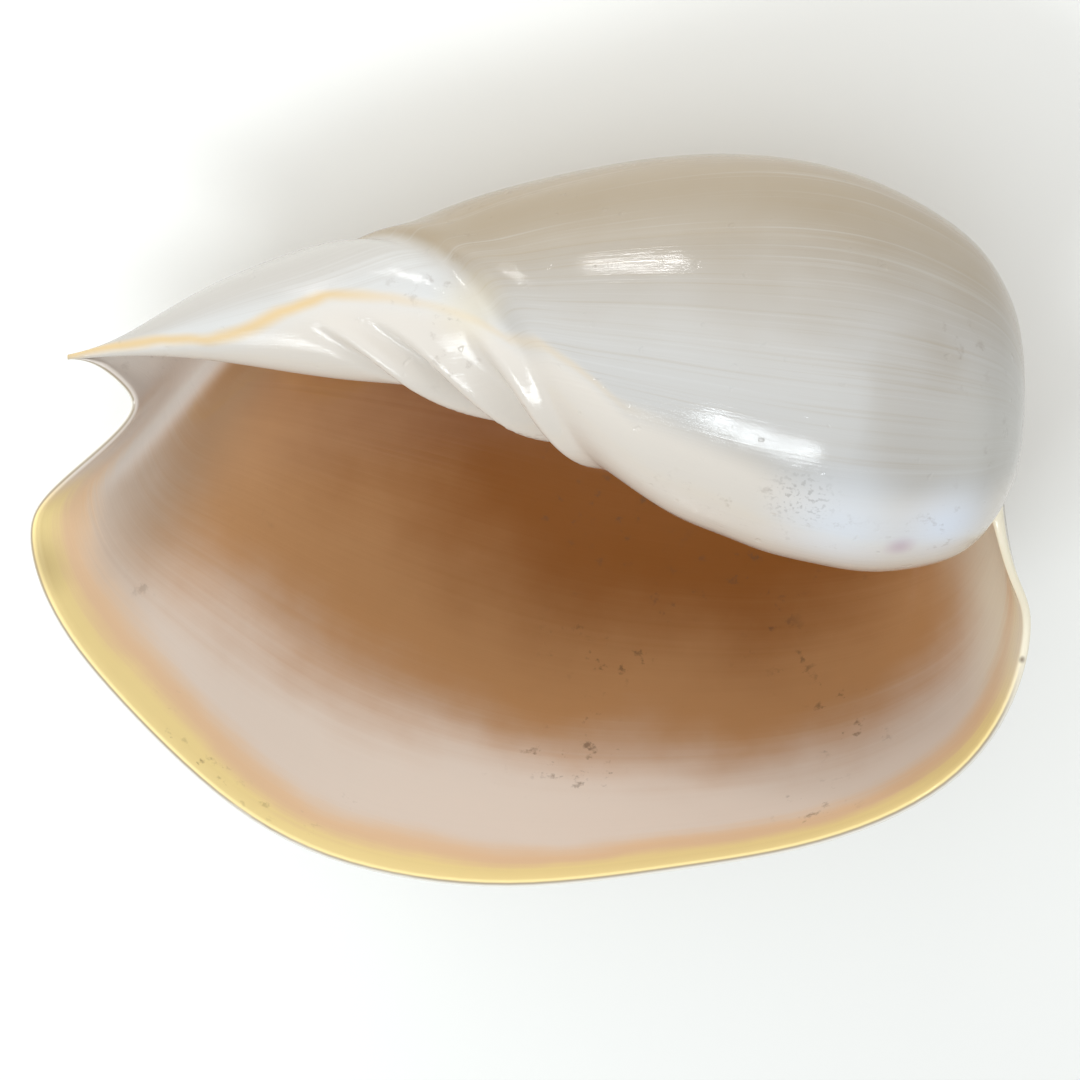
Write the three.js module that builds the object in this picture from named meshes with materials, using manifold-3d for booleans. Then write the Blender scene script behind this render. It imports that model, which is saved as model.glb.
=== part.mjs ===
// Melon shell: one large sea snail shell, lying on its back with the mouth turned up.
// All lengths are millimetres and all angles are degrees unless a name says otherwise.
//
// The wall is swept round a bent centre line. In the shell's own frame x runs along the shell from
// the pointed front tip to the crown, v points from the mouth's outer lip towards the whorl's top
// and w points out of the mouth. An angle of 0 is the outer lip, and growth runs towards it.

import * as THREE from 'three';
import { mergeVertices } from 'three/addons/utils/BufferGeometryUtils.js';
import Module from 'manifold-3d';

// Growth: each whorl is this many times the size of the one before, about the crown.
const WHORL_RATIO = 3;
const CROWN_X = 224;

// Centre line of the whorls, as [x, v].
const CENTRE_LINE = [
  [-10, 16.3], [0, 17.5], [32, 21.6], [56, 22.8], [80, 22], [104, 18.7], [128, 13.9], [152, 8.9],
  [176, 4.8], [200, 2.2], [224, 0.5], [234, 0],
];

// Outlines of the wall from the suture to the front tip, as [x, radius from the centre line].
// The lip's points also have the angle that each one lies back from the outer lip.
const LIP_OUTLINE = [
  [226, 18, -35], [227.5, 27.5, -28], [230, 37, -16], [232, 45.5, -6], [228, 62.5, 0],
  [214, 84, 0], [185.5, 101.5, 0], [147, 115.5, 0], [106, 128, 0], [67.5, 127, 0], [35.5, 109, 0],
  [10, 81, 0], [-4.5, 58.5, 0], [-9.5, 41.5, -5], [-5.5, 31.5, -12], [6.5, 22.5, -22],
  [14, 14.5, -30], [9.5, 6, -35], [0, 0.6, -40],
];
const TOP_OUTLINE = [
  [224.5, 7.5], [226.5, 13.5], [227.5, 20], [227, 27.5], [223.5, 36], [214.5, 46.5], [195, 56.5],
  [173.5, 60], [151.5, 57], [127.5, 48.5], [103.5, 37.5], [89.5, 30], [81, 27], [76, 24.5],
  [65.5, 22.5], [48.5, 17], [31.5, 11], [15, 4], [0, 0.6],
];
const PILLAR_OUTLINE = [
  [224.5, 4.5], [225, 7.5], [225.5, 12], [223.5, 17.5], [220, 23.5], [213, 30.5], [201, 35],
  [190, 36.5], [179.5, 36], [168.5, 35], [159, 33], [148, 30.5], [137.5, 26], [127.5, 22],
  [115.5, 18], [91.5, 11.5], [65.5, 10.5], [31.5, 4.5], [0, 0.6],
];
const TOP_ANGLE = -180;
const PILLAR_ANGLE = -360;

// Between these stations the wall leaves the inner whorls and winds along the pillar instead.
const WHORL_END_STATION = 11;
const PILLAR_STATION = 14;
const PILLAR_TAPER = 0.5;

// Wall thickness: thin at the lip's edge, full a little way behind it, and thick at the suture.
const LIP_THICKNESS = 2;
const WALL_THICKNESS = 3.4;
const LIP_THINNING_LENGTH = 55;
const SUTURE_THICKENING = 5;
const SUTURE_REACH = 0.5;
const THICKEST_SHARE_OF_RADIUS = 0.5;

// Solid pillar inside the whorls, with the blunt first whorl at its crown end, as
// [x, radius, height of its middle above the centre line].
const PILLAR_CORE = [
  [5, 0.6, 0], [31, 5, 2], [50, 8, 3], [65, 9, 3], [80, 9, 2], [95, 9, 1], [110, 10, 0],
  [130, 11.5, 0], [150, 11, 0], [190, 10, 0], [206, 11.5, 0], [215, 12, 0], [221, 10.5, 0],
  [225, 7, 0],
];
const CORE_CROWN_X = 227.5;

// Folds on the pillar: where each crest crosses the pillar angle, its slant and height, the depth of
// the groove in front of it, and the width of its two flanks.
const FOLDS = [
  { x: 98, slant: 0.36, height: 4, groove: 1.6, steep: 4, gentle: 17 },
  { x: 114.5, slant: 0.38, height: 3.6, groove: 3.8, steep: 4, gentle: 11 },
  { x: 123.5, slant: 0.25, height: 2.4, groove: 3.4, steep: 4, gentle: 9 },
];
const FOLDS_START_ANGLE = -250;
const FOLDS_FULL_ANGLE = -320;
const GROOVE_REACH = 7;

// Crease beside the band that the front notch leaves as it grows, and that band's swelling.
const CREASE = { station: 13.3, width: 0.5, depth: 0.7 };
const BAND = { from: 13.4, to: 17, height: 0.5 };
const BAND_ANGLES = [-285, -245, -130, -50];

// Sampling of the wall.
const SEAM_ANGLE = -340;
const TONGUE_ANGLE = 4;
const TONGUE_INSET = 0.03;
const WHORLS_START_ANGLE = -720;
const PILLAR_START_ANGLE = -560;
const OUTER_STEPS = 28;
const INNER_STEPS = 13;
const BODY_COLUMNS = 20;
const FOLD_COLUMNS = 18;
const TIP_COLUMNS = 6;
const FOLDS_FROM_STATION = 12;
const FOLDS_TO_STATION = 15.5;
const CORE_SIDES = 14;

// Rest: the turn about x that lays the shell on its back, and how far its lowest point is worn flat.
const REST_ROLL = -22;
const WORN_DEPTH = 1.5;

const COLOUR = 0xe9dfd0;
const ROUGHNESS = 0.22;

const radians = THREE.MathUtils.degToRad;
const smoothstep = THREE.MathUtils.smoothstep;

// Natural cubic spline through the values at the given knots.
function naturalSpline(knots, values) {
  const count = knots.length;
  const bends = new Array(count).fill(0);
  const carried = new Array(count).fill(0);
  for (let i = 1; i < count - 1; i += 1) {
    const before = knots[i] - knots[i - 1];
    const after = knots[i + 1] - knots[i];
    const slopeChange = (values[i + 1] - values[i]) / after - (values[i] - values[i - 1]) / before;
    const pivot = 2 * (before + after) - before * carried[i - 1];
    carried[i] = after / pivot;
    bends[i] = (6 * slopeChange - before * bends[i - 1]) / pivot;
  }
  for (let i = count - 2; i > 0; i -= 1) {
    bends[i] -= carried[i] * bends[i + 1];
  }
  return (at) => {
    let i = 0;
    while (i < count - 2 && at > knots[i + 1]) {
      i += 1;
    }
    const span = knots[i + 1] - knots[i];
    const a = (knots[i + 1] - at) / span;
    const b = 1 - a;
    const bend = ((a ** 3 - a) * bends[i] + (b ** 3 - b) * bends[i + 1]) * span * span / 6;
    return a * values[i] + b * values[i + 1] + bend;
  };
}

// The outline that a whorl had one turn earlier, wound along the pillar at its front end.
function earlierOutline(outline) {
  return outline.map(([x, radius], station) => {
    const [pillarX, pillarRadius] = PILLAR_OUTLINE[station];
    const onPillar = smoothstep(station, WHORL_END_STATION, PILLAR_STATION);
    return [
      THREE.MathUtils.lerp(CROWN_X - (CROWN_X - x) / WHORL_RATIO, pillarX, onPillar),
      THREE.MathUtils.lerp(radius / WHORL_RATIO, pillarRadius * PILLAR_TAPER, onPillar),
    ];
  });
}

const stations = LIP_OUTLINE.map((point, index) => index);
const lastStation = stations.length - 1;
const outlines = [
  [2 * PILLAR_ANGLE, earlierOutline(PILLAR_OUTLINE)],
  [PILLAR_ANGLE + TOP_ANGLE, earlierOutline(TOP_OUTLINE)],
  [PILLAR_ANGLE, PILLAR_OUTLINE],
  [TOP_ANGLE, TOP_OUTLINE],
  [0, LIP_OUTLINE],
].map(([angle, outline]) => ({
  angle,
  x: naturalSpline(stations, outline.map((point) => point[0])),
  logRadius: naturalSpline(stations, outline.map((point) => Math.log(point[1]))),
}));
const lipAngle = naturalSpline(stations, LIP_OUTLINE.map((point) => point[2]));
const centreHeight = naturalSpline(CENTRE_LINE.map((p) => p[0]), CENTRE_LINE.map((p) => p[1]));

// Smooth wall before its folds: x and radius at any angle along one station.
function growthLine(station) {
  const angles = outlines.map((outline) => outline.angle);
  angles[angles.length - 1] = lipAngle(station);
  const x = naturalSpline(angles, outlines.map((outline) => outline.x(station)));
  const logRadius = naturalSpline(angles, outlines.map((outline) => outline.logRadius(station)));
  return (angle) => [x(angle), Math.exp(logRadius(angle))];
}

function shellPoint(x, radius, angle) {
  const turn = radians(angle);
  return new THREE.Vector3(x, centreHeight(x) - radius * Math.cos(turn), radius * Math.sin(turn));
}

// A ridge with a steep front flank and a gentle back slope.
function ridge(offset, steep, gentle) {
  const reach = offset < 0 ? -offset / steep : offset / gentle;
  return 1 - smoothstep(reach, 0, 1);
}

// Height of the folds, crease and notch band above the smooth wall.
function relief(angle, station, x) {
  let height = 0;
  const foldStrength = 1 - smoothstep(angle, FOLDS_FULL_ANGLE, FOLDS_START_ANGLE);
  for (const fold of FOLDS) {
    const crest = fold.x - fold.slant * (angle - PILLAR_ANGLE);
    height += fold.height * foldStrength * ridge(x - crest, fold.steep, fold.gentle);
    height -= fold.groove * foldStrength * ridge(x - crest + fold.steep, GROOVE_REACH, GROOVE_REACH);
  }
  const [start, full, fading, end] = BAND_ANGLES;
  const bandStrength = smoothstep(angle, start, full) * (1 - smoothstep(angle, fading, end));
  const across = (station - BAND.from) / (BAND.to - BAND.from);
  if (across > 0 && across < 1) {
    height += BAND.height * bandStrength * Math.sin(Math.PI * across);
  }
  const fromCrease = (station - CREASE.station) / CREASE.width;
  return height - CREASE.depth * bandStrength * Math.exp(-fromCrease * fromCrease);
}

function wallThickness(angle, station, radius) {
  const behindLip = radians(lipAngle(station) - angle) * radius;
  const grown = smoothstep(behindLip, 0, LIP_THINNING_LENGTH);
  const wall = THREE.MathUtils.lerp(LIP_THICKNESS, WALL_THICKNESS, grown);
  const atSuture = SUTURE_THICKENING * Math.exp(-station / SUTURE_REACH);
  return Math.min(wall + atSuture, radius * THICKEST_SHARE_OF_RADIUS);
}

// Outer and inner points of the wall along one station, at the given angles.
function wallPoints(station, angles) {
  const stationStep = 0.01;
  const angleStep = 0.5;
  const line = growthLine(station);
  const stationBefore = Math.max(station - stationStep, 0);
  const stationAfter = Math.min(station + stationStep, lastStation);
  const lineBefore = growthLine(stationBefore);
  const lineAfter = growthLine(stationAfter);
  return angles.map((angle) => {
    const [x, radius] = line(angle);
    const along = shellPoint(...line(angle + angleStep), angle + angleStep)
      .sub(shellPoint(...line(angle - angleStep), angle - angleStep));
    const across = shellPoint(...lineAfter(angle), angle).sub(shellPoint(...lineBefore(angle), angle));
    const outward = along.cross(across).normalize();
    const smooth = shellPoint(x, radius, angle);
    const height = relief(angle, station, x);
    const depth = wallThickness(angle, station, radius) - Math.min(height, 0);
    const outer = smooth.clone().addScaledVector(outward, height);
    const inner = smooth.addScaledVector(outward, -depth);
    return [outer, inner];
  });
}

// A closed sheet of wall: columns run along growth and rows run from the suture to the front tip.
function sheetGeometry(columns) {
  const rows = columns.length;
  const steps = columns[0].length;
  const positions = columns.flat(2).flatMap((point) => [point.x, point.y, point.z]);
  const index = [];
  const vertex = (row, step, side) => (row * steps + step) * 2 + side;
  const quad = (a, b, c, d) => index.push(a, c, b, a, d, c);
  for (let row = 0; row < rows - 1; row += 1) {
    for (let step = 0; step < steps - 1; step += 1) {
      for (const side of [0, 1]) {
        const corners = [
          vertex(row, step, side), vertex(row + 1, step, side),
          vertex(row + 1, step + 1, side), vertex(row, step + 1, side),
        ];
        quad(...(side === 0 ? corners : corners.reverse()));
      }
    }
    const end = steps - 1;
    quad(vertex(row, 0, 0), vertex(row, 0, 1), vertex(row + 1, 0, 1), vertex(row + 1, 0, 0));
    quad(vertex(row, end, 0), vertex(row + 1, end, 0), vertex(row + 1, end, 1), vertex(row, end, 1));
  }
  for (let step = 0; step < steps - 1; step += 1) {
    const last = rows - 1;
    quad(vertex(0, step, 0), vertex(0, step + 1, 0), vertex(0, step + 1, 1), vertex(0, step, 1));
    quad(vertex(last, step, 0), vertex(last, step, 1), vertex(last, step + 1, 1), vertex(last, step + 1, 0));
  }
  const geometry = new THREE.BufferGeometry();
  geometry.setAttribute('position', new THREE.Float32BufferAttribute(positions, 3));
  geometry.setIndex(index);
  return geometry;
}

function evenly(from, to, steps) {
  return Array.from({ length: steps + 1 }, (unused, step) => THREE.MathUtils.lerp(from, to, step / steps));
}

const wallStations = [
  ...evenly(0, FOLDS_FROM_STATION, BODY_COLUMNS),
  ...evenly(FOLDS_FROM_STATION, FOLDS_TO_STATION, FOLD_COLUMNS).slice(1),
  ...evenly(FOLDS_TO_STATION, lastStation, TIP_COLUMNS).slice(1),
];

// The last whorl, from deep in the mouth round to the lip.
function lastWhorlGeometry() {
  return sheetGeometry(wallStations.map((station) => (
    wallPoints(station, evenly(SEAM_ANGLE, lipAngle(station), OUTER_STEPS))
  )));
}

// A point pair of the tongue that runs a little way inside the last whorl's wall.
function tonguePoints(station) {
  const inside = THREE.MathUtils.lerp(TONGUE_INSET, lastStation - TONGUE_INSET, station / lastStation);
  const [[outer, inner]] = wallPoints(inside, [SEAM_ANGLE + TONGUE_ANGLE]);
  return [outer.clone().lerp(inner, TONGUE_INSET), inner.clone().lerp(outer, TONGUE_INSET)];
}

// The earlier whorls, from where they leave the pillar to the tongue in the last whorl.
function earlierWhorlGeometry() {
  return sheetGeometry(wallStations.map((station) => {
    const onPillar = smoothstep(station, WHORL_END_STATION, PILLAR_STATION);
    const start = THREE.MathUtils.lerp(WHORLS_START_ANGLE, PILLAR_START_ANGLE, onPillar);
    const wall = wallPoints(station, evenly(start, SEAM_ANGLE, INNER_STEPS));
    return [...wall, tonguePoints(station)];
  }));
}

// The solid pillar as rings along the centre line, closed by a point at each end.
function pillarGeometry() {
  const positions = [];
  const index = [];
  const addPoint = (point) => positions.push(point.x, point.y, point.z) / 3 - 1;
  const frontTip = addPoint(shellPoint(0, 0, 0));
  const rings = PILLAR_CORE.map(([x, radius, lift]) => evenly(0, 360, CORE_SIDES).slice(1).map((angle) => {
    const point = shellPoint(x, radius, angle);
    point.y += lift;
    return addPoint(point);
  }));
  const crown = addPoint(shellPoint(CORE_CROWN_X, 0, 0));
  for (let side = 0; side < CORE_SIDES; side += 1) {
    const next = (side + 1) % CORE_SIDES;
    index.push(frontTip, rings[0][side], rings[0][next]);
    for (let ring = 0; ring < rings.length - 1; ring += 1) {
      const [a, b] = [rings[ring][side], rings[ring][next]];
      const [c, d] = [rings[ring + 1][side], rings[ring + 1][next]];
      index.push(a, c, b, b, c, d);
    }
    const lastRing = rings[rings.length - 1];
    index.push(crown, lastRing[next], lastRing[side]);
  }
  const geometry = new THREE.BufferGeometry();
  geometry.setAttribute('position', new THREE.Float32BufferAttribute(positions, 3));
  geometry.setIndex(index);
  return geometry;
}

const wasm = await Module();
wasm.setup();

function solid(geometry) {
  geometry.deleteAttribute('normal');
  geometry.deleteAttribute('uv');
  const merged = mergeVertices(geometry);
  return new wasm.Manifold(new wasm.Mesh({
    numProp: 3,
    vertProperties: merged.attributes.position.array,
    triVerts: new Uint32Array(merged.index.array),
  }));
}

function solidGeometry(body) {
  const mesh = body.getMesh();
  const geometry = new THREE.BufferGeometry();
  geometry.setAttribute('position', new THREE.Float32BufferAttribute(mesh.vertProperties, 3));
  geometry.setIndex(new THREE.Uint32BufferAttribute(mesh.triVerts, 1));
  return geometry;
}

// The largest closed surface of a body, without the sealed pockets that a real shell fills as it grows.
function withoutPockets(body) {
  return body.decompose().reduce((largest, piece) => (piece.volume() > largest.volume() ? piece : largest));
}

// Joins the whorls to the pillar and turns the shell the way it lies.
function lyingShellGeometry() {
  const whorls = solid(lastWhorlGeometry()).add(solid(earlierWhorlGeometry()));
  const geometry = solidGeometry(withoutPockets(whorls.add(solid(pillarGeometry()))));
  geometry.rotateX(radians(REST_ROLL));
  return geometry;
}

// Wears the lowest point flat and sets the origin under the middle of the shell, on the surface.
function restingShellGeometry() {
  const lying = lyingShellGeometry();
  lying.computeBoundingBox();
  const { min, max } = lying.boundingBox;
  const floor = min.z + WORN_DEPTH;
  const size = max.clone().sub(min);
  const below = new THREE.BoxGeometry(2 * size.x, 2 * size.y, size.z);
  below.translate((min.x + max.x) / 2, (min.y + max.y) / 2, floor - size.z / 2);
  const worn = solidGeometry(solid(lying).subtract(solid(below)));
  const geometry = solidGeometry(withoutPockets(solid(worn)));
  geometry.translate(-(min.x + max.x) / 2, -(min.y + max.y) / 2, -floor);
  geometry.computeVertexNormals();
  return geometry;
}

const finish = new THREE.MeshStandardMaterial({ color: COLOUR, roughness: ROUGHNESS, metalness: 0 });
const shell = new THREE.Mesh(restingShellGeometry(), finish);
shell.name = 'shell';

const melonShell = new THREE.Group();
melonShell.name = 'melon_shell';
melonShell.add(shell);

export default melonShell;
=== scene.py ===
import bpy
import numpy as np
from mathutils import Matrix, Vector
from mathutils.kdtree import KDTree


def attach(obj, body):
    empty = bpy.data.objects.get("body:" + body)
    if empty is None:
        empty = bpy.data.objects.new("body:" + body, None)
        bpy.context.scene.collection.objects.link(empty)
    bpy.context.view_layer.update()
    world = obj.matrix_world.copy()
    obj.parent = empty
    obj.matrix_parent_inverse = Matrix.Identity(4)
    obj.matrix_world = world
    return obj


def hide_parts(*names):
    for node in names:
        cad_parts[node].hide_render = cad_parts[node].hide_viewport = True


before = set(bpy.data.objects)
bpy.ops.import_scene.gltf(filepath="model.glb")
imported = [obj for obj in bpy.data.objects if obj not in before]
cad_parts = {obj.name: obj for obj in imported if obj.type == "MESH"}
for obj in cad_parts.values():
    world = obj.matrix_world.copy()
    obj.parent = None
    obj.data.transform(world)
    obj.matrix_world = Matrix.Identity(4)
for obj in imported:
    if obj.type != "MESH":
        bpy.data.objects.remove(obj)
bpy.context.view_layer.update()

# Sizes are millimetres and angles are degrees, in the shell's own frame: x runs from the front tip
# to the crown, v from the outer lip towards the whorl's top, and w out of the mouth.
METRES = 0.001

# Growth: each whorl is this many times the size of the one before, about the crown.
WHORL_RATIO = 3
CROWN_X = 224

# Centre line of the whorls, as (x, v).
CENTRE_LINE = np.array([
    (-10, 16.3), (0, 17.5), (32, 21.6), (56, 22.8), (80, 22), (104, 18.7), (128, 13.9), (152, 8.9),
    (176, 4.8), (200, 2.2), (224, 0.5), (234, 0),
])

# Outlines of the wall from the suture to the front tip, as (x, radius from the centre line).
# The lip's points also have the angle that each one lies back from the outer lip.
LIP_OUTLINE = np.array([
    (226, 18, -35), (227.5, 27.5, -28), (230, 37, -16), (232, 45.5, -6), (228, 62.5, 0),
    (214, 84, 0), (185.5, 101.5, 0), (147, 115.5, 0), (106, 128, 0), (67.5, 127, 0), (35.5, 109, 0),
    (10, 81, 0), (-4.5, 58.5, 0), (-9.5, 41.5, -5), (-5.5, 31.5, -12), (6.5, 22.5, -22),
    (14, 14.5, -30), (9.5, 6, -35), (0, 0.6, -40),
])
TOP_OUTLINE = np.array([
    (224.5, 7.5), (226.5, 13.5), (227.5, 20), (227, 27.5), (223.5, 36), (214.5, 46.5), (195, 56.5),
    (173.5, 60), (151.5, 57), (127.5, 48.5), (103.5, 37.5), (89.5, 30), (81, 27), (76, 24.5),
    (65.5, 22.5), (48.5, 17), (31.5, 11), (15, 4), (0, 0.6),
])
PILLAR_OUTLINE = np.array([
    (224.5, 4.5), (225, 7.5), (225.5, 12), (223.5, 17.5), (220, 23.5), (213, 30.5), (201, 35),
    (190, 36.5), (179.5, 36), (168.5, 35), (159, 33), (148, 30.5), (137.5, 26), (127.5, 22),
    (115.5, 18), (91.5, 11.5), (65.5, 10.5), (31.5, 4.5), (0, 0.6),
])
TOP_ANGLE = -180
PILLAR_ANGLE = -360
STATIONS = np.arange(len(LIP_OUTLINE), dtype=float)
LAST_STATION = STATIONS[-1]

# Between these stations the wall leaves the inner whorls and winds along the pillar instead.
WHORL_END_STATION = 11
PILLAR_STATION = 14
PILLAR_TAPER = 0.5

# Wall thickness: thin at the lip's edge, full a little way behind it, and thick at the suture.
LIP_THICKNESS = 2
WALL_THICKNESS = 3.4
LIP_THINNING_LENGTH = 55
SUTURE_THICKENING = 5
SUTURE_REACH = 0.5
THICKEST_SHARE_OF_RADIUS = 0.5

# Solid pillar inside the whorls, with the blunt first whorl at its crown end, as
# (x, radius, height of its middle above the centre line).
PILLAR_CORE = np.array([
    (5, 0.6, 0), (31, 5, 2), (50, 8, 3), (65, 9, 3), (80, 9, 2), (95, 9, 1), (110, 10, 0),
    (130, 11.5, 0), (150, 11, 0), (190, 10, 0), (206, 11.5, 0), (215, 12, 0), (221, 10.5, 0),
    (225, 7, 0), (227.5, 0.5, 0),
])

# Folds on the pillar: where each crest crosses the pillar angle, its slant and height, the depth of
# the groove in front of it, and the width of its two flanks.
FOLDS = [
    {"x": 98, "slant": 0.36, "height": 4, "groove": 1.6, "steep": 4, "gentle": 17},
    {"x": 114.5, "slant": 0.38, "height": 3.6, "groove": 3.8, "steep": 4, "gentle": 11},
    {"x": 123.5, "slant": 0.25, "height": 2.4, "groove": 3.4, "steep": 4, "gentle": 9},
]
FOLDS_START_ANGLE = -250
FOLDS_FULL_ANGLE = -320
GROOVE_REACH = 7

# Crease beside the band that the front notch leaves as it grows, and that band's swelling.
CREASE_STATION = 13.3
CREASE_WIDTH = 0.5
CREASE_DEPTH = 0.7
BAND_FROM = 13.4
BAND_TO = 17
BAND_HEIGHT = 0.5
BAND_ANGLES = (-285, -245, -130, -50)

# Edge of the glaze that the animal laid over the pillar side, as (station, angle).
GLAZE_EDGE = np.array([
    (0, -300), (8, -296), (9.7, -288), (10.6, -284), (11.2, -272), (11.8, -265), (13.1, -266),
    (14, -255), (14.6, -244), (15.1, -238), (15.7, -246), (16.2, -260), (16.7, -269), (18, -266),
])

# Sampling of the wall.
SEAM_ANGLE = -340
TONGUE_ANGLE = 4
TONGUE_INSET = 0.03
WHORLS_START_ANGLE = -720
PILLAR_START_ANGLE = -560
OUTER_STEPS = 170
INNER_STEPS = 50
BODY_COLUMNS = 84
FOLD_COLUMNS = 64
TIP_COLUMNS = 24
FOLDS_FROM_STATION = 12
FOLDS_TO_STATION = 15.5
CORE_SIDES = 48
CORE_RINGS = 70
EDGE_POINTS = 5
MARK_NAMES = ("growth", "station", "inside", "lip_distance", "glaze")
CORE_LIP_DISTANCE = 500
CORE_GLAZE = 60

# Rest: the turn about x that lays the shell on its back, and how far its lowest point is worn flat.
REST_ROLL = -22
WORN_DEPTH = 1.5

# Camera of the photo: where its axis meets the shell's middle plane, its distance and its view.
CAMERA_X = 113.3
CAMERA_V = -26.4
CAMERA_DISTANCE = 600
VIEW_WIDTH = 259.2
SENSOR_WIDTH = 36

# Colours of the shell, as 8-bit screen values.
IVORY = (190, 188, 184)
TAN = (148, 127, 92)
STREAK = (160, 142, 112)
GLAZE_WHITE = (214, 207, 197)
GLAZE_LINE = (216, 186, 132)
BAND_WHITE = (210, 211, 210)
BAND_GREY = (166, 156, 142)
# Near-white channel colour: painted light on the shaded rear channel inside the mouth and on the rear
# end of the lip.
CHANNEL_PAINTED_LIGHT = (255, 247, 224)
CANAL_WHITE = (222, 212, 202)
RIM_WHITE = (246, 242, 232)
LIP_YELLOW = (252, 230, 164)
LIP_ORANGE = (240, 206, 168)
CREAM = (236, 222, 208)
FLESH = (202, 152, 104)
# Deep brown is the mouth's own brown, darkened further as painted shade deep under the pillar.
DEEP_BROWN_AND_SHADE = (156, 98, 48)
# Dull tan on the front wall of the mouth: painted shade.
FRONT_PAINTED_SHADE = (158, 134, 108)
SMUDGE = (112, 88, 66)

# Width of each colour zone inside the mouth, from the lip inwards.
RIM_END = 1.2
YELLOW_END = 4
ORANGE_END = 11
CREAM_START = 20
CREAM_END = 34
FLESH_START = 68
DEEP_START = 106
# The front shift brings the brown nearer the lip on the front wall as painted shade.
FRONT_SHADE_SHIFT = 22
REAR_SHIFT = 12

# Where the outside's colours change: angles behind the lip, stations, or lengths from the glaze's edge.
TAN_ANGLES = (290, 215)
TAN_WANDER = 40
TAN_STRENGTH = 0.8
CROWN_BAND_STATIONS = (7, 6.4)
CROWN_BAND_STRENGTH = 0.14
CLOUD_STRENGTH = 0.3
DARK_STREAK_STRENGTH = 0.28
PALE_STREAK_STRENGTH = 0.17
# The band's white starts in the shaded valley beside it, as painted light.
BAND_AND_CREASE_LIGHT_STATIONS = (12.4, 13.8)
BAND_GROWTH = (90, 150)
BAND_STRENGTH = 0.85
GREY_ANGLES = (252, 214)
GREY_WANDER = 60
GREY_STRENGTH = 0.45
GLAZE_WANDER = 8
GLAZE_FADE = (-4, 6)
GLAZE_LINE_FADE = (2.4, 0)
LINE_FRONT_STATIONS = (14, 15.5)
LINE_REAR_STATIONS = (9.5, 11.5)
LINE_LEAST = 0.25
LINE_FRONT_GAIN = 0.6
# The rear end of the lip is lightened here as painted light.
REAR_EDGE_STATIONS = (4.6, 3.4)
REAR_EDGE_ANGLES = (24, 2)

# Where the mouth's colours change: stations, or lengths from the lip.
STIR = 16
ROWS = 10
LIP_STIR_SHARE = 0.6
DEPTH_STIR_SHARE = 1.6
FRONT_STATIONS = (9, 11.5)
FRONT_END_STATIONS = (14, 12.8)
REAR_STATIONS = (7.5, 6)
# The rear channel's painted light lies between these stations.
CHANNEL_STATIONS = (5, 3.4)
CHANNEL_WANDER = 0.05
CHANNEL_STRENGTH = 0.85
CANAL_STATIONS = (12.6, 13.5)
CANAL_WANDER = 0.03
CANAL_STRENGTH = 0.9
# Where the painted shade on the front wall lies.
FRONT_SHADE_STATIONS = (10.8, 12)
FRONT_SHADE_END_STATIONS = (13.3, 12.6)
FRONT_SHADE_LENGTHS = (4, 30)
FRONT_SHADE_STRENGTH = 0.45
LIP_END_STATIONS = (14.6, 13.2)

# Which points count as outside, edge or inside: 0 is the outer side and 1 is the inner side.
INSIDE_FADE = (0.55, 0.75)
RIM_LENGTHS = (RIM_END, 0.2)
RIM_SIDES = (0.6, 0.3)
PIT_SIDES = (0.6, 0.4)
SMUDGE_SIDES = (-0.8, 1)

# Noises of the finish, as scale, detail and roughness, and the share of each noise that shows.
OUTSIDE_CLOUDS = (24, 3)
MOUTH_CLOUDS = (30, 4)
GROWTH_LINES = (1, 5, 0.65)
LINES_PER_DEGREE = 0.6
LINES_PER_STATION = 0.12
SPECKLES = (900, 2)
SMUDGE_CLUSTERS = (22, 2)
SCRATCHES = (230, 4, 0.65)
MOTTLE = (70, 4)
DENTS = (60, 1)
PITS = (260, 2)
NOISE_MIDDLE = 0.5
DARK_SHARE = (0.5, 0.72)
PALE_SHARE = (0.47, 0.3)
SPECKLE_SHARE = (0.52, 0.66)
CLUSTER_SHARE = (0.55, 0.68)
SCRATCH_SHARE = (0.58, 0.7)
PIT_SHARE = (0.68, 0.78)
SMUDGE_STRENGTH = 0.6
LEAST_ROUGHNESS = 0.02
MOST_ROUGHNESS = 0.14
DENT_HEIGHT = 0.35
PIT_HEIGHT = -0.2
LINE_HEIGHT = 0.12
BUMP_STRENGTH = 0.5

# Floor and light: places are offsets from the middle of the shell, in its own frame.
FLOOR_PALE = (252, 252, 248)
FLOOR_ROUGHNESS = 0.6
FLOOR_REACH_METRES = 6
LIGHT_AIM = Vector((120, 0, 20))
WINDOW_LIGHT = (-315, -600, 590)
WINDOW_ACROSS = (0.88, -0.47, 0)
WINDOW_UP = (0.3, 0.55, 0.78)
WINDOW_COLUMNS = 3
WINDOW_ROWS = 2
WINDOW_PITCH = (130, 95)
PANE_SIZE = (112, 80)
PANE_POWER = 0.4
TOP_LIGHT = (-270, 560, 340)
TOP_LIGHT_SIZE = (130, 30)
TOP_LIGHT_POWER = 0.4
FAR_LIGHT = (-330, 790, 620)
FAR_LIGHT_SIZE = (900, 520)
FAR_LIGHT_POWER = 4.5
SKY_LIGHT = (-400, -250, 1040)
SKY_LIGHT_SIZE = (1500, 1500)
SKY_LIGHT_POWER = 5
WORLD_STRENGTH = 0.6
DAYLIGHT = (0.88, 0.95, 1)

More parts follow.
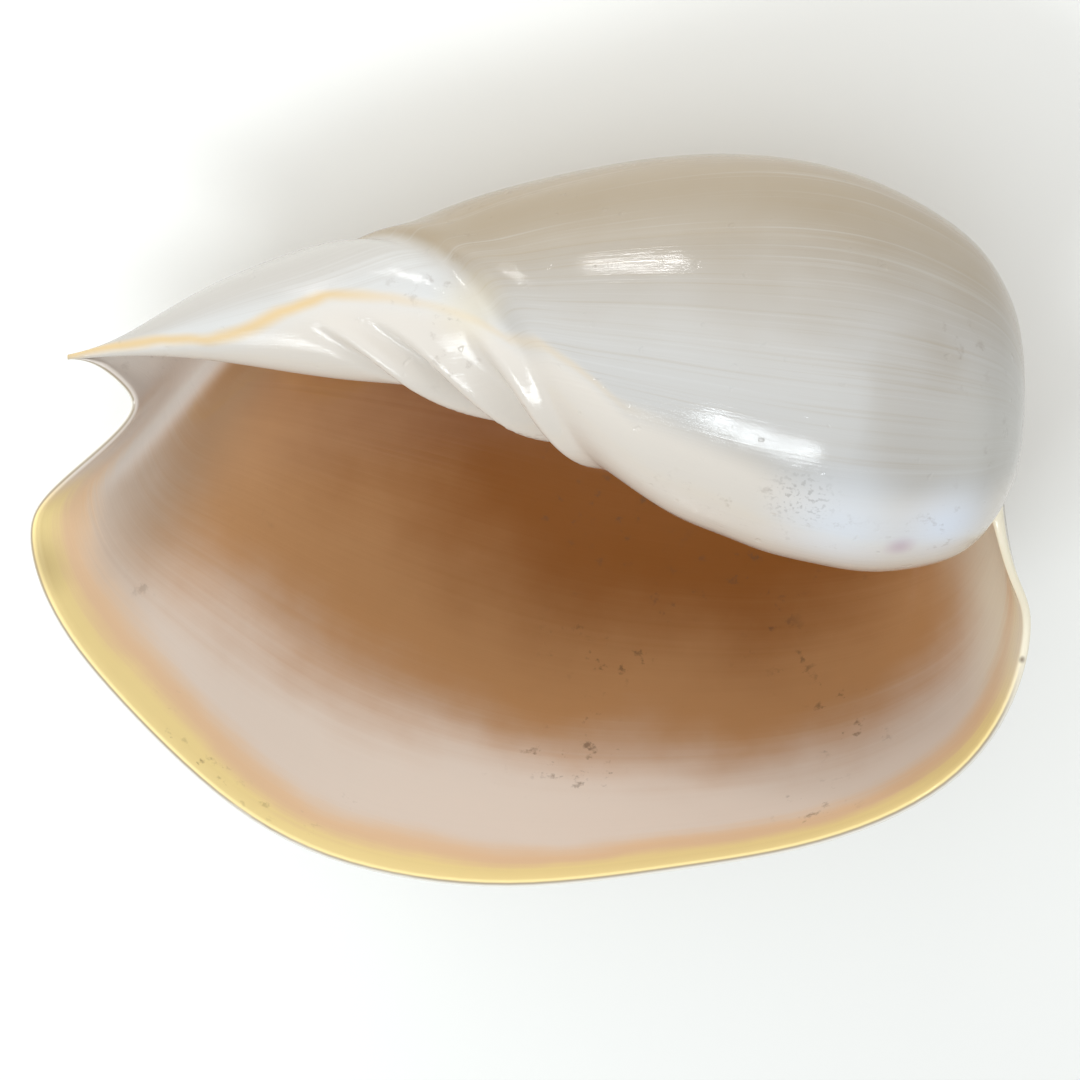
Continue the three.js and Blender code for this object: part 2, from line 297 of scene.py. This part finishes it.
# Stains on the shell, and one pale patch of painted light, as (x, v, w), radius, colour, strength and
# whether they are speckled.
STAINS_AND_PAINTED_LIGHT = [
    ((206, -22, 28), 17, (222, 230, 242), 0.9, False),
    ((182, -25, 32), 24, (218, 225, 234), 0.8, False),
    # Pale patch: painted light on the outside near the crown end.
    ((213, -1, 28), 26, (214, 214, 208), 0.6, False),
    ((-6, -32, 0), 12, (172, 150, 108), 0.45, False),
    ((97, 27, 21), 12, (224, 206, 160), 0.3, False),
    ((-8.4, -22.6, 0), 1.4, (74, 42, 22), 1, False),
    ((229, -55, 0), 1.4, (90, 62, 36), 0.9, False),
    ((172, -17, 35), 12, (96, 90, 82), 0.35, True),
    ((153, -20, 30), 4, (190, 172, 192), 0.8, False),
    ((196, -28, 26), 5, (190, 170, 186), 0.7, False),
    ((213, -33, -20), 4, (150, 100, 60), 0.8, False),
]


def smoothstep(value, low, high):
    share = np.clip((value - low) / (high - low), 0, 1)
    return share * share * (3 - 2 * share)


def spline_bends(knots, values):
    """Second derivatives of the natural cubic spline along the last axis."""
    span = np.diff(knots)
    slope = np.diff(values) / span
    bends = np.zeros(values.shape)
    carried = np.zeros(values.shape)
    count = values.shape[-1]
    for i in range(1, count - 1):
        pivot = 2 * (span[..., i - 1] + span[..., i]) - span[..., i - 1] * carried[..., i - 1]
        carried[..., i] = span[..., i] / pivot
        change = 6 * (slope[..., i] - slope[..., i - 1])
        bends[..., i] = (change - span[..., i - 1] * bends[..., i - 1]) / pivot
    for i in range(count - 2, 0, -1):
        bends[..., i] -= carried[..., i] * bends[..., i + 1]
    return bends


def spline(knots, values, at):
    """Natural cubic spline through values at knots, read at each place of at, along the last axis."""
    bends = spline_bends(knots, values)
    segment = (at[..., None] > knots[..., None, 1:-1]).sum(-1)

    def pick(array, index):
        return array[index] if array.ndim == 1 else np.take_along_axis(array, index, -1)

    low, high = pick(knots, segment), pick(knots, segment + 1)
    a = (high - at) / (high - low)
    b = 1 - a
    bend = (a ** 3 - a) * pick(bends, segment) + (b ** 3 - b) * pick(bends, segment + 1)
    return a * pick(values, segment) + b * pick(values, segment + 1) + bend * (high - low) ** 2 / 6


def earlier_outline(outline):
    """The outline that a whorl had one turn earlier, wound along the pillar at its front end."""
    on_pillar = smoothstep(STATIONS, WHORL_END_STATION, PILLAR_STATION)
    whorl_x = CROWN_X - (CROWN_X - outline[:, 0]) / WHORL_RATIO
    whorl_radius = outline[:, 1] / WHORL_RATIO
    x = whorl_x + (PILLAR_OUTLINE[:, 0] - whorl_x) * on_pillar
    radius = whorl_radius + (PILLAR_OUTLINE[:, 1] * PILLAR_TAPER - whorl_radius) * on_pillar
    return np.stack([x, radius], -1)


OUTLINES = [
    (2 * PILLAR_ANGLE, earlier_outline(PILLAR_OUTLINE)),
    (PILLAR_ANGLE + TOP_ANGLE, earlier_outline(TOP_OUTLINE)),
    (PILLAR_ANGLE, PILLAR_OUTLINE),
    (TOP_ANGLE, TOP_OUTLINE),
    (0, LIP_OUTLINE),
]


def lip_angle(stations):
    return spline(STATIONS, LIP_OUTLINE[:, 2], stations)


def glaze_edge(stations):
    return np.interp(stations, GLAZE_EDGE[:, 0], GLAZE_EDGE[:, 1])


def centre_height(x):
    return spline(CENTRE_LINE[:, 0], CENTRE_LINE[:, 1], x)


def smooth_wall(stations, angles):
    """x and radius of the wall before its folds, one row of angles for each station."""
    knots = np.stack([np.full(len(stations), float(angle)) for angle, outline in OUTLINES], -1)
    knots[:, -1] = lip_angle(stations)
    x = np.stack([spline(STATIONS, outline[:, 0], stations) for angle, outline in OUTLINES], -1)
    log_radius = np.stack(
        [spline(STATIONS, np.log(outline[:, 1]), stations) for angle, outline in OUTLINES], -1)
    return spline(knots, x, angles), np.exp(spline(knots, log_radius, angles))


def shell_points(x, radius, angles):
    turn = np.radians(angles)
    return np.stack([x, centre_height(x) - radius * np.cos(turn), radius * np.sin(turn)], -1)


def relief(angles, stations, x):
    """Height of the folds, crease and notch band above the smooth wall."""
    height = np.zeros(x.shape)
    strength = 1 - smoothstep(angles, FOLDS_FULL_ANGLE, FOLDS_START_ANGLE)
    for fold in FOLDS:
        offset = x - fold["x"] + fold["slant"] * (angles - PILLAR_ANGLE)
        reach = np.where(offset < 0, -offset / fold["steep"], offset / fold["gentle"])
        height += fold["height"] * strength * (1 - smoothstep(reach, 0, 1))
        from_groove = np.abs(offset + fold["steep"]) / GROOVE_REACH
        height -= fold["groove"] * strength * (1 - smoothstep(from_groove, 0, 1))
    start, full, fading, end = BAND_ANGLES
    band = smoothstep(angles, start, full) * (1 - smoothstep(angles, fading, end))
    across = np.clip((stations - BAND_FROM) / (BAND_TO - BAND_FROM), 0, 1)
    height += BAND_HEIGHT * band * np.sin(np.pi * across)
    return height - CREASE_DEPTH * band * np.exp(-((stations - CREASE_STATION) / CREASE_WIDTH) ** 2)


def wall_thickness(angles, stations, radius):
    behind_lip = np.radians(lip_angle(stations[:, 0])[:, None] - angles) * radius
    grown = smoothstep(behind_lip, 0, LIP_THINNING_LENGTH)
    wall = LIP_THICKNESS + (WALL_THICKNESS - LIP_THICKNESS) * grown
    at_suture = SUTURE_THICKENING * np.exp(-stations / SUTURE_REACH)
    return np.minimum(wall + at_suture, radius * THICKEST_SHARE_OF_RADIUS)


def wall_sides(stations, angles):
    """Outer and inner points of the wall, with its growth direction, on a grid."""
    station_step = 0.01
    angle_step = 0.5
    before = np.maximum(stations - station_step, 0)
    after = np.minimum(stations + station_step, LAST_STATION)
    x, radius = smooth_wall(stations, angles)
    across = (shell_points(*smooth_wall(after, angles), angles)
              - shell_points(*smooth_wall(before, angles), angles))
    ahead, behind = angles + angle_step, angles - angle_step
    along = (shell_points(*smooth_wall(stations, ahead), ahead)
             - shell_points(*smooth_wall(stations, behind), behind))
    along /= np.linalg.norm(along, axis=-1, keepdims=True)
    outward = np.cross(along, across)
    outward /= np.linalg.norm(outward, axis=-1, keepdims=True)
    smooth = shell_points(x, radius, angles)
    columns = np.repeat(stations[:, None], angles.shape[1], 1)
    height = relief(angles, columns, x)
    depth = wall_thickness(angles, columns, radius) - np.minimum(height, 0)
    outer = smooth + outward * height[..., None]
    inner = smooth - outward * depth[..., None]
    return outer, inner, along, radius


def rows_between(start, end, steps):
    """A row of evenly spaced angles for each station, from start to end."""
    share = np.linspace(0, 1, steps + 1)
    return start[:, None] * (1 - share) + end[:, None] * share


def wall_stations():
    body = np.linspace(0, FOLDS_FROM_STATION, BODY_COLUMNS + 1)
    folds = np.linspace(FOLDS_FROM_STATION, FOLDS_TO_STATION, FOLD_COLUMNS + 1)
    tip = np.linspace(FOLDS_TO_STATION, LAST_STATION, TIP_COLUMNS + 1)
    return np.concatenate([body, folds[1:], tip[1:]])


def marks(stations, angles, radius, inside):
    """What the finish needs to know at each point: growth, station, side, lip and glaze distance."""
    columns = np.repeat(stations[:, None], angles.shape[1], 1)
    growth = lip_angle(stations)[:, None] - angles
    lip_distance = np.radians(growth) * radius
    glaze = np.radians(glaze_edge(stations)[:, None] - angles) * radius
    return np.stack([growth, columns, np.full(angles.shape, inside), lip_distance, glaze], -1)


def loop_mesh(name, loops, loop_marks, half):
    """Closed mesh of a sheet: each station is a loop out along one side and back along the other."""
    count, length = loops.shape[:2]
    index = np.arange(count * length).reshape(count, length)
    following = np.roll(index, -1, 1)
    sides = np.stack([following[:-1], following[1:], index[1:], index[:-1]], -1).reshape(-1, 4)
    steps = np.arange(half - 1)
    opposite = length - 1 - steps
    start, end = index[0], index[-1]
    first = np.stack([start[opposite], start[opposite - 1], start[steps + 1], start[steps]], -1)
    last = np.stack([end[steps], end[steps + 1], end[opposite - 1], end[opposite]], -1)
    faces = np.concatenate([sides, first, last]).tolist()
    rim = list(range(half - 1, length - half + 1))
    if len(rim) > 2:
        faces.append([int(start[i]) for i in reversed(rim)])
        faces.append([int(end[i]) for i in rim])
    mesh = bpy.data.meshes.new(name)
    mesh.from_pydata((loops.reshape(-1, 3) * METRES).tolist(), [], faces)
    mesh.update()
    return mesh, loop_marks.reshape(-1, loop_marks.shape[-1])


def last_whorl():
    """The last whorl, from deep in the mouth round to the lip's rounded edge."""
    stations = wall_stations()
    angles = rows_between(np.full(len(stations), float(SEAM_ANGLE)), lip_angle(stations), OUTER_STEPS)
    outer, inner, along, radius = wall_sides(stations, angles)
    middle = (outer[:, -1] + inner[:, -1]) / 2
    half = (outer[:, -1] - inner[:, -1]) / 2
    bulge = along[:, -1] * np.linalg.norm(half, axis=-1, keepdims=True)
    turns = np.pi * np.arange(1, EDGE_POINTS + 1) / (EDGE_POINTS + 1)
    edge = [middle + half * np.cos(turn) + bulge * np.sin(turn) for turn in turns]
    loops = np.concatenate([outer, np.stack(edge, 1), inner[:, ::-1]], 1)
    outer_marks = marks(stations, angles, radius, 0)
    inner_marks = marks(stations, angles, radius, 1)
    edge_marks = np.repeat(outer_marks[:, -1:], EDGE_POINTS, 1)
    edge_marks[..., 2] = np.linspace(0, 1, EDGE_POINTS + 2)[1:-1]
    loop_marks = np.concatenate([outer_marks, edge_marks, inner_marks[:, ::-1]], 1)
    return loop_mesh("last_whorl", loops, loop_marks, OUTER_STEPS + 1)


def earlier_whorls():
    """The earlier whorls, from where they leave the pillar to the tongue in the last whorl."""
    stations = wall_stations()
    on_pillar = smoothstep(stations, WHORL_END_STATION, PILLAR_STATION)
    start = WHORLS_START_ANGLE + (PILLAR_START_ANGLE - WHORLS_START_ANGLE) * on_pillar
    angles = rows_between(start, np.full(len(stations), float(SEAM_ANGLE)), INNER_STEPS)
    outer, inner, along, radius = wall_sides(stations, angles)
    tucked = TONGUE_INSET + (LAST_STATION - 2 * TONGUE_INSET) * stations / LAST_STATION
    tongue_angle = np.full((len(stations), 1), float(SEAM_ANGLE + TONGUE_ANGLE))
    tongue_outer, tongue_inner = wall_sides(tucked, tongue_angle)[:2]
    inset = (tongue_inner - tongue_outer) * TONGUE_INSET
    outer = np.concatenate([outer, tongue_outer + inset], 1)
    inner = np.concatenate([inner, tongue_inner - inset], 1)
    loops = np.concatenate([outer, inner[:, ::-1]], 1)
    outer_marks = marks(stations, angles, radius, 0)
    inner_marks = marks(stations, angles, radius, 1)
    outer_marks = np.concatenate([outer_marks, outer_marks[:, -1:]], 1)
    inner_marks = np.concatenate([inner_marks, inner_marks[:, -1:]], 1)
    loop_marks = np.concatenate([outer_marks, inner_marks[:, ::-1]], 1)
    return loop_mesh("earlier_whorls", loops, loop_marks, INNER_STEPS + 2)


def pillar():
    """The solid pillar as rings along the centre line, capped at both ends."""
    knots = np.arange(len(PILLAR_CORE), dtype=float)
    rings = np.linspace(0, knots[-1], CORE_RINGS)
    x, radius, lift = (spline(knots, PILLAR_CORE[:, column], rings) for column in range(3))
    angles = np.linspace(0, 360, CORE_SIDES, endpoint=False)
    grid_x = np.repeat(x[:, None], CORE_SIDES, 1)
    points = shell_points(grid_x, np.repeat(radius[:, None], CORE_SIDES, 1), angles[None, :])
    points[..., 1] += lift[:, None]
    index = np.arange(CORE_RINGS * CORE_SIDES).reshape(CORE_RINGS, CORE_SIDES)
    following = np.roll(index, -1, 1)
    sides = np.stack([index[:-1], index[1:], following[1:], following[:-1]], -1).reshape(-1, 4).tolist()
    faces = sides + [index[0].tolist(), index[-1][::-1].tolist()]
    mesh = bpy.data.meshes.new("pillar")
    mesh.from_pydata((points.reshape(-1, 3) * METRES).tolist(), [], faces)
    mesh.update()
    core_marks = np.array([-PILLAR_ANGLE, LAST_STATION / 2, 0, CORE_LIP_DISTANCE, CORE_GLAZE])
    return mesh, np.tile(core_marks, (CORE_RINGS * CORE_SIDES, 1))


def join(parts):
    """One closed mesh of all the parts, with each point's marks taken from the nearest part point."""
    objects = []
    for mesh, part_marks in parts:
        part = bpy.data.objects.new(mesh.name, mesh)
        bpy.context.scene.collection.objects.link(part)
        objects.append(part)
    for other in objects[1:]:
        union = objects[0].modifiers.new("join", "BOOLEAN")
        union.operation = "UNION"
        union.solver = "MANIFOLD"
        union.object = other
    shown = objects[0].evaluated_get(bpy.context.evaluated_depsgraph_get())
    joined = bpy.data.meshes.new_from_object(shown)
    joined.name = "melon_shell"
    part_points = np.concatenate([mesh_points(mesh) for mesh, part_marks in parts])
    all_marks = np.concatenate([part_marks for mesh, part_marks in parts])
    tree = KDTree(len(part_points))
    for i, point in enumerate(part_points):
        tree.insert(point, i)
    tree.balance()
    nearest = [tree.find(vertex.co)[1] for vertex in joined.vertices]
    for column, name in enumerate(MARK_NAMES):
        attribute = joined.attributes.new(name, "FLOAT", "POINT")
        attribute.data.foreach_set("value", all_marks[nearest, column].astype(np.float32))
    for part in objects:
        bpy.data.objects.remove(part)
    return joined


def mesh_points(mesh):
    points = np.zeros(len(mesh.vertices) * 3, np.float32)
    mesh.vertices.foreach_get("co", points)
    return points.reshape(-1, 3)


def lay_down(mesh):
    """Turns the mesh to its rest, wears its lowest point flat and returns where its own origin went."""
    mesh.transform(Matrix.Rotation(np.radians(REST_ROLL), 4, "X"))
    points = mesh_points(mesh)
    low, high = points.min(0), points.max(0)
    floor = low[2] + WORN_DEPTH * METRES
    shift = np.array([-(low[0] + high[0]) / 2, -(low[1] + high[1]) / 2, -floor])
    points += shift
    points[:, 2] = np.maximum(points[:, 2], 0)
    mesh.vertices.foreach_set("co", points.ravel())
    mesh.update()
    return Vector(shift)


def make_shell():
    mesh = join([last_whorl(), earlier_whorls(), pillar()])
    origin = lay_down(mesh)
    mesh.polygons.foreach_set("use_smooth", np.ones(len(mesh.polygons), bool))
    shell = bpy.data.objects.new("melon_shell", mesh)
    bpy.context.scene.collection.objects.link(shell)
    return shell, origin


def make_floor():
    reach = FLOOR_REACH_METRES
    mesh = bpy.data.meshes.new("floor")
    corners = [(-reach, -reach, 0), (reach, -reach, 0), (reach, reach, 0), (-reach, reach, 0)]
    mesh.from_pydata(corners, [], [(0, 1, 2, 3)])
    floor = bpy.data.objects.new("floor", mesh)
    bpy.context.scene.collection.objects.link(floor)
    return floor


def make_camera(shell_frame):
    lens = bpy.data.cameras.new("camera")
    lens.sensor_width = SENSOR_WIDTH
    lens.lens = SENSOR_WIDTH * CAMERA_DISTANCE / VIEW_WIDTH
    camera = bpy.data.objects.new("camera", lens)
    place = Vector((CAMERA_X, CAMERA_V, CAMERA_DISTANCE)) * METRES
    camera.matrix_world = shell_frame @ Matrix.Translation(place)
    bpy.context.scene.collection.objects.link(camera)
    bpy.context.scene.camera = camera


def make_light(name, shell_frame, offset, size, power, tint=(1, 1, 1), mirrored=True):
    """A soft area light at an offset from the middle of the shell, facing it."""
    lamp = bpy.data.lights.new(name, "AREA")
    lamp.shape = "RECTANGLE"
    lamp.size, lamp.size_y = size[0] * METRES, size[1] * METRES
    lamp.energy = power
    lamp.color = tint
    light = bpy.data.objects.new(name, lamp)
    start = shell_frame @ ((LIGHT_AIM + Vector(offset)) * METRES)
    end = shell_frame @ (LIGHT_AIM * METRES)
    light.rotation_mode = "QUATERNION"
    light.rotation_quaternion = (start - end).to_track_quat("Z", "Y")
    light.location = start
    light.visible_camera = False
    light.visible_glossy = mirrored
    bpy.context.scene.collection.objects.link(light)


def make_window(shell_frame):
    """A window of small panes, for the broken highlight on the body whorl."""
    across, up = Vector(WINDOW_ACROSS), Vector(WINDOW_UP)
    for column in range(WINDOW_COLUMNS):
        for row in range(WINDOW_ROWS):
            right = (column - (WINDOW_COLUMNS - 1) / 2) * WINDOW_PITCH[0]
            rise = (row - (WINDOW_ROWS - 1) / 2) * WINDOW_PITCH[1]
            offset = Vector(WINDOW_LIGHT) + across * right + up * rise
            make_light(f"pane_{column}_{row}", shell_frame, offset, PANE_SIZE, PANE_POWER, DAYLIGHT)


def make_world():
    world = bpy.data.worlds.new("studio")
    world.use_nodes = True
    background = world.node_tree.nodes["Background"]
    background.inputs["Color"].default_value = (1, 1, 1, 1)
    background.inputs["Strength"].default_value = WORLD_STRENGTH
    bpy.context.scene.world = world
    bpy.context.scene.view_settings.view_transform = "Standard"


def colour(screen):
    """Linear colour of an 8-bit screen colour, by the sRGB formula."""
    share = np.array(screen) / 255
    linear = np.where(share <= 0.04045, share / 12.92, ((share + 0.055) / 1.055) ** 2.4)
    return (*linear.tolist(), 1.0)


class Finish:
    """A material with short ways to add its nodes."""

    def __init__(self, name):
        self.material = bpy.data.materials.new(name)
        self.material.use_nodes = True
        self.tree = self.material.node_tree
        self.shader = self.tree.nodes["Principled BSDF"]

    def put(self, socket, value):
        if isinstance(value, bpy.types.NodeSocket):
            self.tree.links.new(value, socket)
        else:
            socket.default_value = value

    def node(self, kind, inputs, **settings):
        node = self.tree.nodes.new(kind)
        for name, value in settings.items():
            setattr(node, name, value)
        for name, value in inputs.items():
            self.put(node.inputs[name], value)
        return node

    def mark(self, name):
        return self.node("ShaderNodeAttribute", {}, attribute_name=name).outputs["Fac"]

    def math(self, operation, a, b=0.0):
        return self.node("ShaderNodeMath", {0: a, 1: b}, operation=operation).outputs[0]

    def times(self, *values):
        product = values[0]
        for value in values[1:]:
            product = self.math("MULTIPLY", product, value)
        return product

    def rise(self, value, low, high):
        """0 up to low and 1 from high on, smooth between; low above high turns it round."""
        inputs = {"Value": value, "From Min": low, "From Max": high}
        return self.node("ShaderNodeMapRange", inputs, interpolation_type="SMOOTHSTEP").outputs["Result"]

    def vector(self, x, y, z=0.0):
        return self.node("ShaderNodeCombineXYZ", {"X": x, "Y": y, "Z": z}).outputs[0]

    def noise(self, vector, scale, detail=3.0, roughness=0.5):
        inputs = {"Vector": vector, "Scale": scale, "Detail": detail, "Roughness": roughness}
        return self.node("ShaderNodeTexNoise", inputs).outputs["Fac"]

    def blend(self, share, below, above):
        """The colour below, covered by the screen colour above as far as share says."""
        inputs = {0: share, 6: below, 7: colour(above)}
        return self.node("ShaderNodeMix", inputs, data_type="RGBA").outputs[2]

    def distance(self, place, point):
        inputs = {0: place, 1: point}
        return self.node("ShaderNodeVectorMath", inputs, operation="DISTANCE").outputs["Value"]


def outside_colour(finish, place, streaks):
    """Ivory, tan over the whorl's top and back, white on the notch band and the pillar's glaze, with the
    band's white carried into the shaded valley beside it as painted light.
    """
    growth, station, glaze = finish.mark("growth"), finish.mark("station"), finish.mark("glaze")
    clouds = finish.noise(place, *OUTSIDE_CLOUDS)
    top = finish.rise(finish.math("ADD", growth, finish.times(clouds, TAN_WANDER)), *TAN_ANGLES)
    crown_band = finish.times(finish.rise(station, *CROWN_BAND_STATIONS), CROWN_BAND_STRENGTH)
    tan = finish.math("MAXIMUM", finish.times(top, TAN_STRENGTH), crown_band)
    shade = finish.blend(tan, colour(IVORY), TAN)
    shade = finish.blend(finish.times(finish.rise(clouds, *DARK_SHARE), CLOUD_STRENGTH), shade, TAN)
    dark = finish.times(finish.rise(streaks, *DARK_SHARE), DARK_STREAK_STRENGTH)
    shade = finish.blend(dark, shade, STREAK)
    pale = finish.times(finish.rise(streaks, *PALE_SHARE), PALE_STREAK_STRENGTH)
    shade = finish.blend(pale, shade, BAND_WHITE)
    # Painted light: the band's white reaches into the shaded valley beside the band.
    band = finish.times(finish.rise(station, *BAND_AND_CREASE_LIGHT_STATIONS), finish.rise(growth, *BAND_GROWTH))
    shade = finish.blend(finish.times(band, BAND_STRENGTH), shade, BAND_WHITE)
    greyed = finish.rise(finish.math("ADD", growth, finish.times(streaks, GREY_WANDER)), *GREY_ANGLES)
    shade = finish.blend(finish.times(band, greyed, GREY_STRENGTH), shade, BAND_GREY)
    sway = finish.times(finish.math("SUBTRACT", clouds, NOISE_MIDDLE), GLAZE_WANDER)
    wander = finish.math("ADD", glaze, sway)
    shade = finish.blend(finish.rise(wander, *GLAZE_FADE), shade, GLAZE_WHITE)
    line = finish.rise(finish.math("ABSOLUTE", wander), *GLAZE_LINE_FADE)
    gain = finish.times(finish.rise(station, *LINE_FRONT_STATIONS), LINE_FRONT_GAIN)
    front = finish.times(finish.math("ADD", gain, LINE_LEAST), finish.rise(station, *LINE_REAR_STATIONS))
    return finish.blend(finish.times(line, front), shade, GLAZE_LINE)


def mouth_colour(finish, place, streaks):
    """From the lip through yellow, orange and cream to brown deep in the mouth, with painted shade in
    the deep brown and on the front wall and painted light in the rear channel.
    """
    station, from_lip = finish.mark("station"), finish.mark("lip_distance")
    clouds = finish.noise(place, *MOUTH_CLOUDS)
    stir = finish.times(finish.math("SUBTRACT", clouds, NOISE_MIDDLE), STIR)
    rows = finish.times(finish.math("SUBTRACT", streaks, NOISE_MIDDLE), ROWS)
    lip = finish.math("ADD", from_lip, finish.times(finish.math("ADD", stir, rows), LIP_STIR_SHARE))
    # Painted shade: the brown moved nearer the lip on the front wall.
    front_shade_shift = finish.times(
        finish.rise(station, *FRONT_STATIONS), finish.rise(station, *FRONT_END_STATIONS), FRONT_SHADE_SHIFT)
    toward_rear = finish.times(finish.rise(station, *REAR_STATIONS), REAR_SHIFT)
    depth = finish.math("ADD", from_lip, finish.math("ADD", finish.times(stir, DEPTH_STIR_SHARE), rows))
    depth = finish.math("ADD", depth, finish.math("ADD", front_shade_shift, toward_rear))
    shade = finish.blend(finish.rise(depth, CREAM_END, FLESH_START), colour(CREAM), FLESH)
    # The deep brown is partly painted shade.
    shade = finish.blend(finish.rise(depth, FLESH_START, DEEP_START), shade, DEEP_BROWN_AND_SHADE)
    # Painted light: the shaded rear channel lightened to near white.
    channel_at = finish.math("ADD", station, finish.times(stir, CHANNEL_WANDER))
    channel_light = finish.times(finish.rise(channel_at, *CHANNEL_STATIONS), CHANNEL_STRENGTH)
    shade = finish.blend(channel_light, shade, CHANNEL_PAINTED_LIGHT)
    canal_at = finish.math("ADD", station, finish.times(stir, CANAL_WANDER))
    canal = finish.times(finish.rise(canal_at, *CANAL_STATIONS), CANAL_STRENGTH)
    shade = finish.blend(canal, shade, CANAL_WHITE)
    # Painted shade: the front wall of the mouth darkened towards dull tan.
    front_shade = finish.times(
        finish.rise(station, *FRONT_SHADE_STATIONS), finish.rise(station, *FRONT_SHADE_END_STATIONS),
        finish.rise(from_lip, *FRONT_SHADE_LENGTHS), FRONT_SHADE_STRENGTH)
    shade = finish.blend(front_shade, shade, FRONT_PAINTED_SHADE)
    along = finish.rise(station, *LIP_END_STATIONS)
    orange = finish.times(finish.rise(lip, CREAM_START, ORANGE_END), along)
    shade = finish.blend(orange, shade, LIP_ORANGE)
    yellow = finish.times(finish.rise(lip, ORANGE_END, YELLOW_END), along)
    return finish.blend(yellow, shade, LIP_YELLOW)


def stained_and_lit(finish, place, shade, shell_frame):
    """The shade with its stains and its patch of painted light, each one round and some of them
    speckled.
    """
    for point, radius, spot_colour, strength, speckled in STAINS_AND_PAINTED_LIGHT:
        centre = shell_frame @ (Vector(point) * METRES)
        cover = finish.times(finish.rise(finish.distance(place, centre), radius * METRES, 0), strength)
        if speckled:
            cover = finish.times(cover, finish.rise(finish.noise(place, *SPECKLES), *SPECKLE_SHARE))
        shade = finish.blend(cover, shade, spot_colour)
    return shade


def bump_normal(finish, place, streaks, inside):
    """Normals of low dents, tiny pits on the outside and fine growth lines."""
    dents = finish.times(finish.noise(place, *DENTS), DENT_HEIGHT)
    pits = finish.times(
        finish.rise(finish.noise(place, *PITS), *PIT_SHARE), finish.rise(inside, *PIT_SIDES), PIT_HEIGHT)
    lines = finish.times(streaks, LINE_HEIGHT)
    height = finish.math("ADD", finish.math("ADD", dents, pits), lines)
    inputs = {"Height": height, "Distance": METRES, "Strength": BUMP_STRENGTH}
    return finish.node("ShaderNodeBump", inputs).outputs["Normal"]


def shell_finish(shell_frame):
    """Glossy porcelain: growth lines, glaze, mouth colours, stains, smudges and tiny pits, with painted
    light and shade in some of its colours.
    """
    finish = Finish("shell_glaze")
    place = finish.node("ShaderNodeTexCoord", {}).outputs["Object"]
    growth, station, inside = finish.mark("growth"), finish.mark("station"), finish.mark("inside")
    lines_at = finish.vector(
        finish.times(growth, LINES_PER_DEGREE), finish.times(station, LINES_PER_STATION), inside)
    streaks = finish.noise(lines_at, *GROWTH_LINES)
    shade = finish.node("ShaderNodeMix", {
        0: finish.rise(inside, *INSIDE_FADE),
        6: outside_colour(finish, place, streaks),
        7: mouth_colour(finish, place, streaks),
    }, data_type="RGBA").outputs[2]
    at_edge = finish.rise(finish.mark("lip_distance"), *RIM_LENGTHS)
    shade = finish.blend(finish.times(at_edge, finish.rise(inside, *RIM_SIDES)), shade, RIM_WHITE)
    # Painted light: the rear end of the lip lightened to near white.
    rear_edge_light = finish.times(
        finish.rise(station, *REAR_EDGE_STATIONS), finish.rise(growth, *REAR_EDGE_ANGLES))
    shade = finish.blend(rear_edge_light, shade, CHANNEL_PAINTED_LIGHT)
    shade = stained_and_lit(finish, place, shade, shell_frame)
    clusters = finish.rise(finish.noise(place, *SMUDGE_CLUSTERS), *CLUSTER_SHARE)
    scratches = finish.rise(finish.noise(place, *SCRATCHES), *SCRATCH_SHARE)
    within = finish.rise(inside, *SMUDGE_SIDES)
    shade = finish.blend(finish.times(clusters, scratches, within, SMUDGE_STRENGTH), shade, SMUDGE)
    finish.put(finish.shader.inputs["Base Color"], shade)
    mottle = {"Value": finish.noise(place, *MOTTLE), "To Min": LEAST_ROUGHNESS, "To Max": MOST_ROUGHNESS}
    rough = finish.node("ShaderNodeMapRange", mottle).outputs["Result"]
    finish.put(finish.shader.inputs["Roughness"], rough)
    finish.put(finish.shader.inputs["Normal"], bump_normal(finish, place, streaks, inside))
    return finish.material


def floor_finish():
    """Plain pale floor."""
    finish = Finish("pale_floor")
    finish.put(finish.shader.inputs["Base Color"], colour(FLOOR_PALE))
    finish.put(finish.shader.inputs["Roughness"], FLOOR_ROUGHNESS)
    return finish.material


shell, origin = make_shell()
shell_frame = Matrix.Translation(origin) @ Matrix.Rotation(np.radians(REST_ROLL), 4, "X")
shell.data.materials.clear()
shell.data.materials.append(shell_finish(shell_frame))
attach(shell, "root")
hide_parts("shell")
floor = make_floor()
floor.data.materials.append(floor_finish())
make_camera(shell_frame)
make_window(shell_frame)
make_light("top_window", shell_frame, TOP_LIGHT, TOP_LIGHT_SIZE, TOP_LIGHT_POWER)
make_light("far_side", shell_frame, FAR_LIGHT, FAR_LIGHT_SIZE, FAR_LIGHT_POWER, mirrored=False)
make_light("sky", shell_frame, SKY_LIGHT, SKY_LIGHT_SIZE, SKY_LIGHT_POWER, DAYLIGHT)
make_world()
